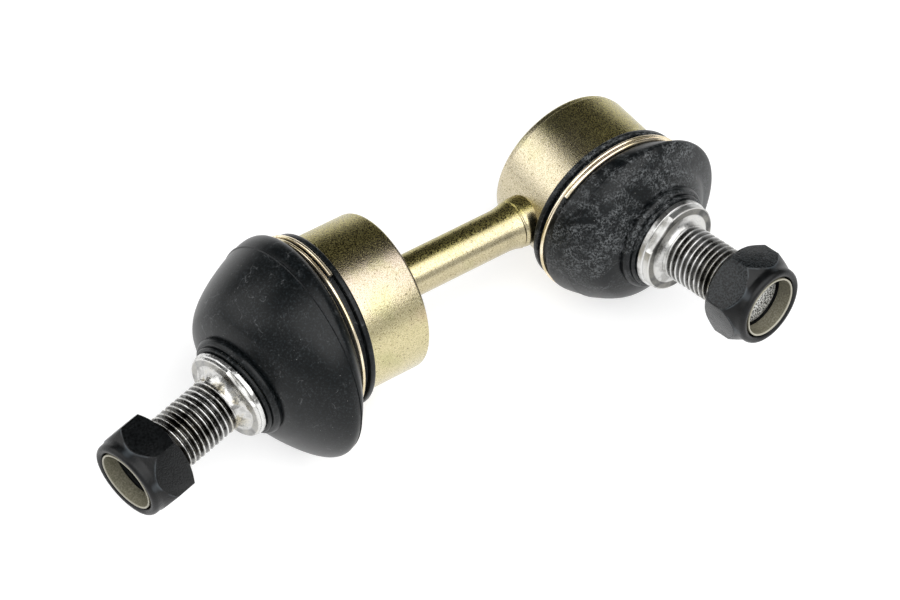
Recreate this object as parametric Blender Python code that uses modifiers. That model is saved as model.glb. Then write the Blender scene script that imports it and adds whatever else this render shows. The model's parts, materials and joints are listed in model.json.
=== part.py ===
"""Stabilizer link: a short rod with an axial ball joint at one end and a radial one at the other.

Each ball joint has a housing, a plastic ball seat, a ball stud with a threaded end, a rubber
boot held by a spring wire clamp and a neck ring, and a lock nut with a nylon insert.
Each joint is modelled about its own ball centre, with its local Z along the housing's axis
towards the stud. Lengths are in metres and angles in degrees.
"""
import math
from collections import namedtuple

import bmesh
import bpy
from mathutils import Matrix, Vector

# Rod between the two joints
BALL_SPACING = 0.0679
RADIAL_BALL_OFFSET = 0.0015
ROD_DIAMETER = 0.009
WELD_DIAMETER = 0.0104
WELD_LENGTH = 0.0052
WELD_SEAM = 0.0012

# Housings
HOUSING_DIAMETER = 0.0332
BOOT_STEP = 0.001
HOUSING_CHAMFER = 0.0008
AXIAL_BACK = 0.0162
AXIAL_FRONT = 0.0064
RADIAL_FRONT = 0.0096
HOUSING_WALL = 0.006
MOUTH_DIAMETER = 0.0172
MOUTH_FLARE = 22.0
COVER_THICKNESS = 0.0012
COVER_LEDGE = 0.0022
ROLLED_RIM = 0.0008
RIM_OVERLAP = 0.0012

# Ball stud
BALL_DIAMETER = 0.015
NECK_DIAMETER = 0.0084
NECK_FLARE = 0.003
BOOT_SEAT_DIAMETER = 0.014
BOOT_SEAT_LENGTH = 0.0052
FLANGE_DIAMETER = 0.0192
WRENCH_DIAMETER = 0.0186
WRENCH_FLATS = 0.017
WRENCH_STEP = 0.00015
SHOULDER_DIAMETER = 0.0152
AXIAL_FLANGE_HEIGHT = 0.0226
AXIAL_FLANGE_THICKNESS = 0.0009
AXIAL_WRENCH_LENGTH = 0.0008
AXIAL_SHOULDER_LENGTH = 0.0025
RADIAL_FLANGE_HEIGHT = 0.0214
RADIAL_FLANGE_THICKNESS = 0.0012
RADIAL_WRENCH_LENGTH = 0.0016
RADIAL_SHOULDER_LENGTH = 0.0014
THREAD_DIAMETER = 0.0119
THREAD_DEPTH = 0.00077
THREAD_PITCH = 0.00125
STUD_REACH = 0.045
STUD_CHAMFER = 0.0009

# Ball seat
SEAT_BASE = 0.0006
SEAT_RISE = 0.0046
SEAT_OPENING = 0.0036

# Boot
BOOT_WALL = 0.0016
BOOT_LIP_DIAMETER = 0.0366
BOOT_LIP_WIDTH = 0.0013
NECK_WALL = 0.0023
NECK_GROOVE = 0.0006
NECK_COLLAR = 0.0005
BOOT_FOLD_DIAMETER = 0.0202
AXIAL_LIP = -0.0021
AXIAL_BULGE_DIAMETER = 0.0438
AXIAL_BULGE_HEIGHT = 0.0075
AXIAL_DOME_SHIFT = 0.0022
AXIAL_DOME_FLATNESS = 1.0
RADIAL_LIP = 0.0041
RADIAL_BULGE_DIAMETER = 0.0378
RADIAL_BULGE_HEIGHT = 0.0116
RADIAL_DOME_SHIFT = 0.0019
RADIAL_DOME_FLATNESS = 1.35

# Spring wire clamp and neck ring
CLAMP_WIRE = 0.0009
CLAMP_PITCH = 0.0011
CLAMP_TURNS = 1.6
AXIAL_CLAMP_START = 343.0
RADIAL_CLAMP_START = 282.0
RING_WIRE = 0.0008

# Lock nut and its insert
NUT_ACROSS_FLATS = 0.017
NUT_HEIGHT = 0.0099
NUT_HEX_HEIGHT = 0.0076
NUT_CORNER_CHAMFER = 0.0007
NUT_COLLAR_DIAMETER = 0.0166
NUT_COLLAR_ROUND = 0.0009
NUT_MOUTH_DIAMETER = 0.013
NUT_LIP = 0.0008
INSERT_THICKNESS = 0.0024
INSERT_WALL = 0.0009

# How the studs, the nuts and the whole link lie at rest
AXIAL_TILT = 12.8
AXIAL_TILT_HEADING = 233.0
RADIAL_TILT = 9.0
RADIAL_TILT_HEADING = 26.0
AXIAL_STUD_TURN = 90.0
RADIAL_STUD_TURN = 104.0
AXIAL_NUT_SETBACK = 0.0039
RADIAL_NUT_SETBACK = 0.0062
AXIAL_NUT_TURN = -27.0
RADIAL_NUT_TURN = 5.5
REST_ROLL = -7.0
REST_PITCH = 4.45

# Fits and fineness
CLEARANCE = 0.0003
WELD_DISTANCE = 0.00001
ROUND_STEPS = 32
BALL_STEPS = 24
THREAD_STEPS = 20
COIL_STEPS = 24
WIRE_STEPS = 8
CUT_MARGIN = 0.001

# Sizes that follow from the ones above
ball_radius = BALL_DIAMETER / 2
neck_radius = NECK_DIAMETER / 2
housing_radius = HOUSING_DIAMETER / 2
boot_step_radius = housing_radius - BOOT_STEP
cavity_radius = housing_radius - HOUSING_WALL
seat_inside = ball_radius + CLEARANCE
seat_outside = cavity_radius - CLEARANCE
seat_bottom = -(seat_inside + SEAT_BASE)
cavity_bottom = seat_bottom - CLEARANCE
mouth_bottom = SEAT_RISE + CLEARANCE
mouth_radius = MOUTH_DIAMETER / 2
cover_radius = cavity_radius + COVER_LEDGE
cover_bottom = cavity_bottom - COVER_THICKNESS
rim_top = cover_bottom - CLEARANCE
radial_back = -(rim_top - ROLLED_RIM)
thread_radius = THREAD_DIAMETER / 2
root_radius = thread_radius - THREAD_DEPTH
lip_radius = BOOT_LIP_DIAMETER / 2
boot_bore = boot_step_radius + CLEARANCE
clamp_groove_radius = lip_radius - CLAMP_WIRE - CLEARANCE
clamp_coil_radius = clamp_groove_radius + CLEARANCE + CLAMP_WIRE / 2
clamp_groove_width = CLAMP_PITCH * CLAMP_TURNS + CLAMP_WIRE + 2 * CLEARANCE
neck_bore = BOOT_SEAT_DIAMETER / 2 + CLEARANCE
boot_neck_radius = neck_bore + NECK_WALL
axial_nut_place = STUD_REACH - AXIAL_NUT_SETBACK
radial_nut_place = STUD_REACH - RADIAL_NUT_SETBACK
nut_bore = thread_radius + CLEARANCE
insert_outside = nut_bore + INSERT_WALL
insert_top = NUT_HEIGHT - NUT_LIP - CLEARANCE
insert_bottom = insert_top - INSERT_THICKNESS

# What differs between the two ball joints
Sizes = namedtuple("Sizes", (
    "side", "tilt", "heading", "stud_turn", "nut_place", "nut_turn", "flange", "flange_top",
    "wrench_top", "shoulder_top", "lip", "bulge", "dome_shift", "dome_flatness", "clamp_start"))


def turn(degrees, axis):
    """Rotation matrix about one axis."""
    return Matrix.Rotation(math.radians(degrees), 4, axis)


def make_collection(name):
    collection = bpy.data.collections.new(name)
    bpy.context.scene.collection.children.link(collection)
    return collection


def make_material(name, colour, roughness, metallic):
    material = bpy.data.materials.new(name)
    material.use_nodes = True
    shader = material.node_tree.nodes["Principled BSDF"]
    shader.inputs["Base Color"].default_value = (*colour, 1.0)
    shader.inputs["Roughness"].default_value = roughness
    shader.inputs["Metallic"].default_value = metallic
    material.diffuse_color = (*colour, 1.0)
    return material


def make_frame(name, parent, matrix):
    """An empty that pieces are placed in, such as a ball centre or a stud's axis."""
    frame = bpy.data.objects.new(name, None)
    parts.objects.link(frame)
    frame.parent = parent
    frame.matrix_local = matrix
    frame.empty_display_size = 0.01
    return frame


def place(obj, frame, material=None):
    """Puts an object in a frame: as a part if it has a material, or else as a cutter."""
    obj.parent = frame
    if material:
        parts.objects.link(obj)
        obj.data.materials.append(material)
    else:
        cutters.objects.link(obj)
        obj.hide_render = True
        obj.display_type = "WIRE"
    return obj


def turned(name, outline, frame, material=None, steps=ROUND_STEPS, closed=False):
    """A solid turned from (radius, height) points that run down its outer side."""
    mesh = bpy.data.meshes.new(name)
    bm = bmesh.new()
    verts = [bm.verts.new((radius, 0, height)) for radius, height in outline]
    ends = verts[1:] + verts[:1] if closed else verts[1:]
    for first, second in zip(verts, ends):
        bm.edges.new((first, second))
    bm.to_mesh(mesh)
    bm.free()
    obj = place(bpy.data.objects.new(name, mesh), frame, material)
    screw = obj.modifiers.new("turn", "SCREW")
    screw.steps = steps
    screw.render_steps = steps
    screw.use_merge_vertices = True
    screw.merge_threshold = WELD_DISTANCE
    return obj


def combine(obj, other, operation):
    """Joins an object with another one, cuts it by that one or trims it to that one."""
    boolean = obj.modifiers.new(operation.lower(), "BOOLEAN")
    boolean.operation = operation
    boolean.object = other


def arc(radius, start, end, steps):
    """Points of a circle about the origin, by degrees from the turning axis."""
    points = []
    for step in range(steps + 1):
        angle = math.radians(start + (end - start) * step / steps)
        points.append((radius * math.sin(angle), radius * math.cos(angle)))
    return points


def quarter(start, end, steps, level_first, flatness=1.0):
    """A quarter of an ellipse between two points, level at one of them, or flatter than that."""
    points = []
    for step in range(1, steps + 1):
        angle = math.pi / 2 * step / steps
        rise = math.sin(angle) ** flatness
        rest = 1 - max(math.cos(angle), 0) ** flatness
        across, along = (rise, rest) if level_first else (rest, rise)
        points.append((start[0] + (end[0] - start[0]) * across,
                       start[1] + (end[1] - start[1]) * along))
    return points


def mouth_at(height):
    """Radius of a housing's flared mouth, which the stud's neck swings in."""
    return mouth_radius + (height - mouth_bottom) * math.tan(math.radians(MOUTH_FLARE))


def housing_outside(front, lip, back):
    """A housing from its retaining lip over the mouth and down its outer side."""
    shoulder = lip - CLEARANCE
    return [
        (cavity_radius, mouth_bottom),
        (mouth_radius, mouth_bottom),
        (mouth_at(front), front),
        (boot_step_radius - HOUSING_CHAMFER, front),
        (boot_step_radius, front - HOUSING_CHAMFER),
        (boot_step_radius, shoulder),
        (housing_radius, shoulder),
        (housing_radius, HOUSING_CHAMFER - back),
        (housing_radius - HOUSING_CHAMFER, -back),
    ]


def make_axial_housing(frame):
    """Turned cup with a thick closed back, which the rod is welded to."""
    floor = [(0, cavity_bottom), (cavity_radius, cavity_bottom)]
    outside = housing_outside(AXIAL_FRONT, AXIAL_LIP, AXIAL_BACK)
    turned("axial_housing", floor + outside + [(0, -AXIAL_BACK)], frame, housing_zinc)


def make_radial_housing(frame):
    """Turned sleeve, open at the back, whose rim is rolled over a cover plate."""
    rim_radius = cover_radius - RIM_OVERLAP
    recess_radius = cover_radius + CLEARANCE
    back = [
        (rim_radius, -radial_back),
        (rim_radius, rim_top),
        (recess_radius, rim_top),
        (recess_radius, cavity_bottom + CLEARANCE),
        (cavity_radius, cavity_bottom + CLEARANCE),
    ]
    outside = housing_outside(RADIAL_FRONT, RADIAL_LIP, radial_back)
    turned("radial_housing", outside + back, frame, housing_zinc, closed=True)
    cover = [(0, cavity_bottom), (cover_radius, cavity_bottom), (cover_radius, cover_bottom)]
    turned("radial_cover_plate", cover + [(0, cover_bottom)], frame, cover_zinc)


def make_seat(name, frame):
    """Acetal cup that wraps the ball past its middle and fills the housing's cavity."""
    opening = math.degrees(math.acos(SEAT_OPENING / seat_inside))
    bowl_steps = round((180 - opening) * BALL_STEPS / 360)
    bowl = arc(seat_inside, 180, opening, bowl_steps)
    flare = SEAT_RISE - SEAT_OPENING
    outline = bowl + [
        (bowl[-1][0] + flare, SEAT_RISE),
        (seat_outside, SEAT_RISE),
        (seat_outside, seat_bottom),
        (0, seat_bottom),
    ]
    turned(name, outline, frame, acetal, BALL_STEPS)


def make_thread(name, frame, start):
    """Helical thread that starts inside the shoulder and ends in the stud's chamfer."""
    turns = math.ceil((STUD_REACH - start) / THREAD_PITCH) + 3
    bm = bmesh.new()
    foot = start - 2 * THREAD_PITCH
    tooth = [(root_radius, foot), (thread_radius, foot + THREAD_PITCH / 2),
             (root_radius, foot + THREAD_PITCH)]
    verts = [bm.verts.new((radius, 0, height)) for radius, height in tooth]
    edges = [bm.edges.new(pair) for pair in zip(verts, verts[1:])]
    bmesh.ops.spin(bm, geom=verts + edges, axis=(0, 0, 1), angle=2 * math.pi * turns,
                   steps=turns * THREAD_STEPS, dvec=(0, 0, THREAD_PITCH / THREAD_STEPS))
    bmesh.ops.remove_doubles(bm, verts=bm.verts, dist=WELD_DISTANCE)
    middle = foot + THREAD_PITCH * (turns + 1) / 2
    for below in (True, False):
        ring = [edge for edge in bm.edges
                if edge.is_boundary and (edge.verts[0].co.z < middle) == below]
        height = sum(edge.verts[0].co.z for edge in ring) / len(ring)
        hub = bm.verts.new((0, 0, height))
        for edge in ring:
            bm.faces.new((edge.verts[0], edge.verts[1], hub))
    bmesh.ops.recalc_face_normals(bm, faces=bm.faces)
    mesh = bpy.data.meshes.new(name)
    bm.to_mesh(mesh)
    bm.free()
    thread = place(bpy.data.objects.new(name, mesh), frame)
    blank_radius = thread_radius + CUT_MARGIN
    tip = root_radius - CLEARANCE
    slope = STUD_CHAMFER * (blank_radius - tip) / (thread_radius - tip)
    blank = turned(name + "_blank", [(0, STUD_REACH), (tip, STUD_REACH),
                                     (blank_radius, STUD_REACH - slope),
                                     (blank_radius, start), (0, start)], frame)
    combine(thread, blank, "INTERSECT")
    return thread


def make_stud(frame, sizes):
    """Forged stud: ball, neck, boot seat, flange, wrench flats, shoulder and rolled thread."""
    name = sizes.side + "_ball_stud"
    flare_top = sizes.flange - BOOT_SEAT_LENGTH
    neck_angle = math.degrees(math.asin(neck_radius / ball_radius))
    ball_steps = round((180 - neck_angle) * BALL_STEPS / 360)
    boot_seat = BOOT_SEAT_DIAMETER / 2
    outline = [(0, sizes.shoulder_top), (thread_radius, sizes.shoulder_top)]
    outline += quarter(outline[-1], (SHOULDER_DIAMETER / 2, sizes.wrench_top), 4, False)
    outline += [
        (WRENCH_DIAMETER / 2, sizes.wrench_top),
        (WRENCH_DIAMETER / 2, sizes.flange_top),
        (FLANGE_DIAMETER / 2, sizes.flange_top),
        (FLANGE_DIAMETER / 2, sizes.flange),
        (boot_seat, sizes.flange),
        (boot_seat, flare_top),
    ]
    outline += quarter(outline[-1], (neck_radius, flare_top - NECK_FLARE), 3, True)
    outline += arc(ball_radius, neck_angle, 180, ball_steps)
    stud = turned(name, outline, frame, stud_zinc, BALL_STEPS)
    for side in (-1, 1):
        bm = bmesh.new()
        bmesh.ops.create_cube(bm, size=1)
        depth = WRENCH_DIAMETER / 2
        foot = sizes.flange_top + WRENCH_STEP
        height = sizes.wrench_top - foot + CUT_MARGIN
        centre = (side * (WRENCH_FLATS + depth) / 2, 0, foot + height / 2)
        size = (depth, WRENCH_DIAMETER + CUT_MARGIN, height)
        bm.transform(Matrix.Translation(centre) @ Matrix.Diagonal((*size, 1)))
        mesh = bpy.data.meshes.new(name + "_flat")
        bm.to_mesh(mesh)
        bm.free()
        combine(stud, place(bpy.data.objects.new(name + "_flat", mesh), frame), "DIFFERENCE")
    thread = make_thread(name + "_thread", frame, sizes.wrench_top + CLEARANCE)
    combine(stud, thread, "UNION")


def neck_levels(flange):
    """Heights on a boot's neck: its top, the ring groove's two sides and the dome's start."""
    top = flange - CLEARANCE
    groove_top = top - NECK_COLLAR
    groove_bottom = groove_top - RING_WIRE - 2 * CLEARANCE
    return top, groove_top, groove_bottom, groove_bottom - NECK_COLLAR


def boot_outline(sizes):
    """Closed outline of a boot that stands straight: outer side down, inner side up."""
    neck_top, ring_groove_top, ring_groove_bottom, fold_height = neck_levels(sizes.flange)
    groove_bottom = sizes.lip + BOOT_LIP_WIDTH
    groove_top = groove_bottom + clamp_groove_width
    bulge = sizes.bulge
    fold = (BOOT_FOLD_DIAMETER / 2, fold_height)
    outside = [
        (boot_neck_radius, neck_top),
        (boot_neck_radius, ring_groove_top),
        (boot_neck_radius - NECK_GROOVE, ring_groove_top),
        (boot_neck_radius - NECK_GROOVE, ring_groove_bottom),
        (boot_neck_radius, ring_groove_bottom),
        fold,
    ]
    outside += quarter(fold, bulge, 7, True, sizes.dome_flatness)
    outside += quarter(bulge, (lip_radius, groove_top), 4, False)
    outside += [
        (clamp_groove_radius, groove_top),
        (clamp_groove_radius, groove_bottom),
        (lip_radius, groove_bottom),
        (lip_radius, sizes.lip),
    ]
    bore_end = (boot_bore, groove_top)
    inner_bulge = (bulge[0] - BOOT_WALL, bulge[1])
    inner_fold = (neck_bore + BOOT_WALL / 2, fold_height - BOOT_WALL)
    inside = [(boot_bore, sizes.lip), bore_end]
    inside += quarter(bore_end, inner_bulge, 4, True)
    inside += quarter(inner_bulge, inner_fold, 6, False, sizes.dome_flatness)
    inside += [(neck_bore, fold_height - BOOT_WALL / 2), (neck_bore, neck_top)]
    return outside + inside


def make_boot(frame, sizes):
    """Moulded rubber boot, turned straight and then leant and pushed over with the stud."""
    boot = turned(sizes.side + "_boot", boot_outline(sizes), frame, rubber, closed=True)
    bpy.context.view_layer.update()
    evaluated = boot.evaluated_get(bpy.context.evaluated_depsgraph_get())
    mesh = bpy.data.meshes.new_from_object(evaluated)
    boot.modifiers.clear()
    boot.data = mesh
    bend_start = sizes.lip + BOOT_LIP_WIDTH + clamp_groove_width
    bend_length = neck_levels(sizes.flange)[3] - BOOT_WALL - bend_start
    for vertex in mesh.vertices:
        share = (vertex.co.z - bend_start) / bend_length
        share = min(max(share, 0), 1)
        lean = share * share * (3 - 2 * share)
        push = sizes.dome_shift * math.sin(math.pi * share)
        vertex.co = turn(lean * sizes.tilt, "Y") @ vertex.co + Vector((push, 0, 0))


def make_clamp(name, frame, lip, start):
    """Spring wire wound a turn and a half into the boot's groove over the housing."""
    curve = bpy.data.curves.new(name, "CURVE")
    curve.dimensions = "3D"
    curve.bevel_depth = CLAMP_WIRE / 2
    curve.bevel_resolution = 2
    curve.use_fill_caps = True
    count = round(CLAMP_TURNS * COIL_STEPS) + 1
    wire = curve.splines.new("POLY")
    wire.points.add(count - 1)
    first = lip + BOOT_LIP_WIDTH + CLEARANCE + CLAMP_WIRE / 2
    for index, point in enumerate(wire.points):
        turns = index / COIL_STEPS
        angle = math.radians(start) + 2 * math.pi * turns
        point.co = (clamp_coil_radius * math.cos(angle), clamp_coil_radius * math.sin(angle),
                    first + CLAMP_PITCH * turns, 1)
    place(bpy.data.objects.new(name, curve), frame, clamp_zinc)


def make_neck_ring(name, frame, flange):
    """Wire ring that holds the boot's neck on the stud."""
    groove_top, groove_bottom = neck_levels(flange)[1:3]
    height = (groove_top + groove_bottom) / 2
    radius = boot_neck_radius - NECK_GROOVE + CLEARANCE + RING_WIRE / 2
    section = arc(RING_WIRE / 2, 0, 360, WIRE_STEPS)[:-1]
    outline = [(radius + across, height + along) for across, along in section]
    turned(name, outline, frame, ring_zinc, BALL_STEPS, closed=True)


def make_nut(name, frame):
    """Hexagon lock nut with a turned collar that holds the insert."""
    corner = NUT_ACROSS_FLATS / math.sqrt(3)
    flat = NUT_ACROSS_FLATS / 2
    collar = NUT_COLLAR_DIAMETER / 2
    mouth = NUT_MOUTH_DIAMETER / 2
    groove = insert_outside + CLEARANCE
    bore_edge = nut_bore + THREAD_DEPTH
    blank = corner + CUT_MARGIN
    slope = NUT_CORNER_CHAMFER * (blank - flat) / (corner - flat)
    outline = [(mouth, NUT_HEIGHT), (collar - NUT_COLLAR_ROUND, NUT_HEIGHT)]
    outline += quarter(outline[-1], (collar, NUT_HEIGHT - NUT_COLLAR_ROUND), 3, True)
    outline += [
        (collar, NUT_HEX_HEIGHT),
        (flat, NUT_HEX_HEIGHT),
        (blank, NUT_HEX_HEIGHT - slope),
        (blank, slope),
        (flat, 0),
        (bore_edge, 0),
        (nut_bore, THREAD_DEPTH),
        (nut_bore, insert_bottom - CLEARANCE),
        (groove, insert_bottom - CLEARANCE),
        (groove, NUT_HEIGHT - NUT_LIP),
        (mouth, NUT_HEIGHT - NUT_LIP),
    ]
    nut = turned(name, outline, frame, nut_black, closed=True)
    bm = bmesh.new()
    bmesh.ops.create_cone(bm, cap_ends=True, segments=6, radius1=corner, radius2=corner,
                          depth=NUT_HEIGHT + 2 * CUT_MARGIN)
    bm.transform(Matrix.Translation((0, 0, NUT_HEIGHT / 2)))
    mesh = bpy.data.meshes.new(name + "_hexagon")
    bm.to_mesh(mesh)
    bm.free()
    combine(nut, place(bpy.data.objects.new(name + "_hexagon", mesh), frame), "INTERSECT")
    ring = [(nut_bore, insert_top), (insert_outside, insert_top),
            (insert_outside, insert_bottom), (nut_bore, insert_bottom)]
    turned(name + "_insert", ring, frame, nylon, BALL_STEPS, closed=True)


def make_rod(frame):
    """Round bar, flared where it is welded to both housings, saddle cut at the radial one."""
    rod = ROD_DIAMETER / 2
    weld = WELD_DIAMETER / 2
    seam = (rod + weld) / 2
    start = AXIAL_BACK + CLEARANCE
    wall = BALL_SPACING - housing_radius - CLEARANCE
    saddle = wall + weld
    flare = wall - WELD_LENGTH
    outline = [
        (0, saddle),
        (weld, saddle),
        (weld, flare + 2 * WELD_SEAM),
        (rod, flare + WELD_SEAM),
        (seam, flare + WELD_SEAM / 2),
        (rod, flare),
        (rod, start + 2 * WELD_SEAM),
        (weld, start + WELD_SEAM),
        (weld, start),
        (0, start),
    ]
    bar = turned("link_rod", outline, frame, rod_zinc, BALL_STEPS)
    bar.matrix_local = turn(90, "Y")
    sleeve = (housing_radius + CLEARANCE, radial_back + CUT_MARGIN)
    outline = [(0, sleeve[1]), sleeve, (sleeve[0], -sleeve[1]), (0, -sleeve[1])]
    cutter = turned("radial_housing_clearance", outline, frame)
    cutter.matrix_local = Matrix.Translation((BALL_SPACING, 0, 0)) @ turn(90, "X")
    combine(bar, cutter, "DIFFERENCE")


def make_joint(frame, sizes):
    """The pieces that both ball joints have, seated in and on one housing."""
    side = sizes.side
    swing = make_frame(side + "_swing", frame, turn(sizes.heading, "Z"))
    lean = make_frame(side + "_lean", swing, turn(sizes.tilt, "Y"))
    spin = make_frame(side + "_spin", lean, turn(sizes.stud_turn, "Z"))
    nut_matrix = Matrix.Translation((0, 0, sizes.nut_place)) @ turn(sizes.nut_turn, "Z")
    nut = make_frame(side + "_nut_place", spin, nut_matrix)
    make_seat(side + "_ball_seat", frame)
    make_clamp(side + "_boot_clamp", frame, sizes.lip, sizes.clamp_start)
    make_boot(swing, sizes)
    make_neck_ring(side + "_neck_ring", lean, sizes.flange)
    make_stud(spin, sizes)
    make_nut(side + "_nut", nut)


def stand_on_ground(frame):
    """Centres the link over the origin and lifts its lowest point to the ground."""
    bpy.context.view_layer.update()
    graph = bpy.context.evaluated_depsgraph_get()
    corners = []
    for obj in parts.objects:
        if obj.type == "EMPTY":
            continue
        shape = obj.evaluated_get(graph)
        mesh = shape.to_mesh()
        corners += [shape.matrix_world @ vertex.co for vertex in mesh.vertices]
        shape.to_mesh_clear()
    low = Vector([min(corner[axis] for corner in corners) for axis in range(3)])
    high = Vector([max(corner[axis] for corner in corners) for axis in range(3)])
    centre = (low + high) / 2
    shift = Matrix.Translation((-centre.x, -centre.y, -low.z))
    frame.matrix_local = shift @ frame.matrix_local


for old in list(bpy.data.objects):
    bpy.data.objects.remove(old, do_unlink=True)
parts = make_collection("stabilizer_link")
cutters = make_collection("cutters")

YELLOW_ZINC = (0.62, 0.55, 0.33)
SILVER_ZINC = (0.72, 0.72, 0.71)
rod_zinc = make_material("rod_zinc", YELLOW_ZINC, 0.38, 1.0)
housing_zinc = make_material("housing_zinc", YELLOW_ZINC, 0.42, 1.0)
cover_zinc = make_material("cover_zinc", YELLOW_ZINC, 0.45, 1.0)
acetal = make_material("acetal", (0.85, 0.84, 0.8), 0.5, 0.0)
stud_zinc = make_material("stud_zinc", SILVER_ZINC, 0.3, 1.0)
rubber = make_material("rubber", (0.02, 0.022, 0.025), 0.45, 0.0)
clamp_zinc = make_material("clamp_zinc", (0.7, 0.6, 0.35), 0.3, 1.0)
ring_zinc = make_material("ring_zinc", (0.7, 0.6, 0.35), 0.3, 1.0)
nut_black = make_material("nut_black", (0.015, 0.016, 0.018), 0.4, 0.6)
nylon = make_material("nylon", (0.42, 0.39, 0.3), 0.5, 0.0)

link = make_frame("link", None, turn(REST_ROLL, "X") @ turn(REST_PITCH, "Y"))
axial = make_frame("axial_joint", link, turn(-90, "Y"))
radial_centre = Matrix.Translation((BALL_SPACING, -RADIAL_BALL_OFFSET, 0))
radial = make_frame("radial_joint", link, radial_centre @ turn(90, "X"))

make_rod(link)
make_axial_housing(axial)
make_radial_housing(radial)
flange_top = AXIAL_FLANGE_HEIGHT + AXIAL_FLANGE_THICKNESS
wrench_top = flange_top + AXIAL_WRENCH_LENGTH
make_joint(axial, Sizes(
    "axial", AXIAL_TILT, AXIAL_TILT_HEADING, AXIAL_STUD_TURN, axial_nut_place, AXIAL_NUT_TURN,
    AXIAL_FLANGE_HEIGHT, flange_top, wrench_top, wrench_top + AXIAL_SHOULDER_LENGTH, AXIAL_LIP,
    (AXIAL_BULGE_DIAMETER / 2, AXIAL_BULGE_HEIGHT), AXIAL_DOME_SHIFT, AXIAL_DOME_FLATNESS,
    AXIAL_CLAMP_START))
flange_top = RADIAL_FLANGE_HEIGHT + RADIAL_FLANGE_THICKNESS
wrench_top = flange_top + RADIAL_WRENCH_LENGTH
make_joint(radial, Sizes(
    "radial", RADIAL_TILT, RADIAL_TILT_HEADING, RADIAL_STUD_TURN, radial_nut_place,
    RADIAL_NUT_TURN, RADIAL_FLANGE_HEIGHT, flange_top, wrench_top,
    wrench_top + RADIAL_SHOULDER_LENGTH, RADIAL_LIP,
    (RADIAL_BULGE_DIAMETER / 2, RADIAL_BULGE_HEIGHT), RADIAL_DOME_SHIFT, RADIAL_DOME_FLATNESS,
    RADIAL_CLAMP_START))
stand_on_ground(link)
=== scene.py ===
import json
import math

import bmesh
import bpy
from mathutils import Matrix, Quaternion, Vector


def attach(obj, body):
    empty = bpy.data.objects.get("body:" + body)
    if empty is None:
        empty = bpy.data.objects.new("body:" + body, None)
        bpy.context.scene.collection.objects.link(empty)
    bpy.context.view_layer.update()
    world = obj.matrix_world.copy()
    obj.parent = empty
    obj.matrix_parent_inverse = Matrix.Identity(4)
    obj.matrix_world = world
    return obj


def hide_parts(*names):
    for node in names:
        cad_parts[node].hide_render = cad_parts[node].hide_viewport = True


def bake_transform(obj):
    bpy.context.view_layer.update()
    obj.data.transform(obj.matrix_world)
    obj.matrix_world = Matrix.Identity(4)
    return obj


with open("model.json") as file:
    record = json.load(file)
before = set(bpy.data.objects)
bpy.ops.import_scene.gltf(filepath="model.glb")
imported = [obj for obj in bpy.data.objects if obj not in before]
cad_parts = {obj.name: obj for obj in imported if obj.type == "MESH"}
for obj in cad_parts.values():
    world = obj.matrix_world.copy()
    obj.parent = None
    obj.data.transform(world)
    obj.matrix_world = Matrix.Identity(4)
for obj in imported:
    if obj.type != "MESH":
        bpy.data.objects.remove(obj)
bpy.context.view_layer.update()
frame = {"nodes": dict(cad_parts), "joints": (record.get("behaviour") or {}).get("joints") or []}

# Camera
# It looks down steeply on the link from about three quarters of a metre away, with a long lens,
# and is held a little off level.
camera = bpy.data.objects.new("camera", bpy.data.cameras.new("camera"))
bpy.context.scene.collection.objects.link(camera)
bpy.context.scene.camera = camera
bpy.context.scene.view_settings.view_transform = "Standard"
camera.data.lens = 153.2
camera.data.sensor_width = 36.0
camera_roll = math.radians(4.773)
camera_aim = Vector((0.378289, 0.449542, -0.809203))
camera.location = (-0.277995, -0.333484, 0.631778)
camera.rotation_mode = "QUATERNION"
camera.rotation_quaternion = (camera_aim.to_track_quat("-Z", "Y")
                              @ Quaternion((0, 0, 1), camera_roll))


# Studio light
# One soft box hangs over the floor in front of the link and one stands behind it to the left. The
# room is light on the camera's side and dark on the far side, so that metal turned to the camera
# is bright and metal turned away from it goes dark.
def node(tree, kind, inputs=None, **settings):
    """A node whose inputs are each given as a value or as another node's output."""
    made = tree.nodes.new(kind)
    for name, value in settings.items():
        setattr(made, name, value)
    for socket, value in (inputs or {}).items():
        if isinstance(value, bpy.types.NodeSocket):
            tree.links.new(value, made.inputs[socket])
        else:
            made.inputs[socket].default_value = value
    return made


def math_node(tree, operation, first, second=0.0, third=0.0):
    """The result of one sum on two or three values."""
    inputs = {0: first, 1: second, 2: third}
    return node(tree, "ShaderNodeMath", inputs, operation=operation).outputs[0]


def ramp(tree, value, start, end, low=0.0, high=1.0):
    """A value that climbs smoothly from low to high as another goes from start to end."""
    inputs = {"Value": value, "From Min": start, "From Max": end, "To Min": low, "To Max": high}
    made = node(tree, "ShaderNodeMapRange", inputs, interpolation_type="SMOOTHSTEP")
    return made.outputs["Result"]


def mix(tree, share, first, second):
    """One colour turning into another."""
    made = node(tree, "ShaderNodeMix", {0: share, 6: first, 7: second}, data_type="RGBA")
    return made.outputs[2]


def soft_box(name, place, aim, width, height, strength):
    """A rectangular lamp at one point, facing another."""
    lamp = bpy.data.lights.new(name, "AREA")
    lamp.shape = "RECTANGLE"
    lamp.size = width
    lamp.size_y = height
    lamp.energy = strength
    light = bpy.data.objects.new(name, lamp)
    bpy.context.scene.collection.objects.link(light)
    light.location = place
    light.rotation_mode = "QUATERNION"
    light.rotation_quaternion = (Vector(aim) - Vector(place)).to_track_quat("-Z", "Y")


soft_box("over_light", (0.2, -0.56, 0.8), (0.2, -0.56, 0), 1.5, 1.3, 13.0)
soft_box("side_light", (-0.62, 0.56, 0.46), (0, 0, 0.02), 0.9, 0.75, 4.0)

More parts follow.
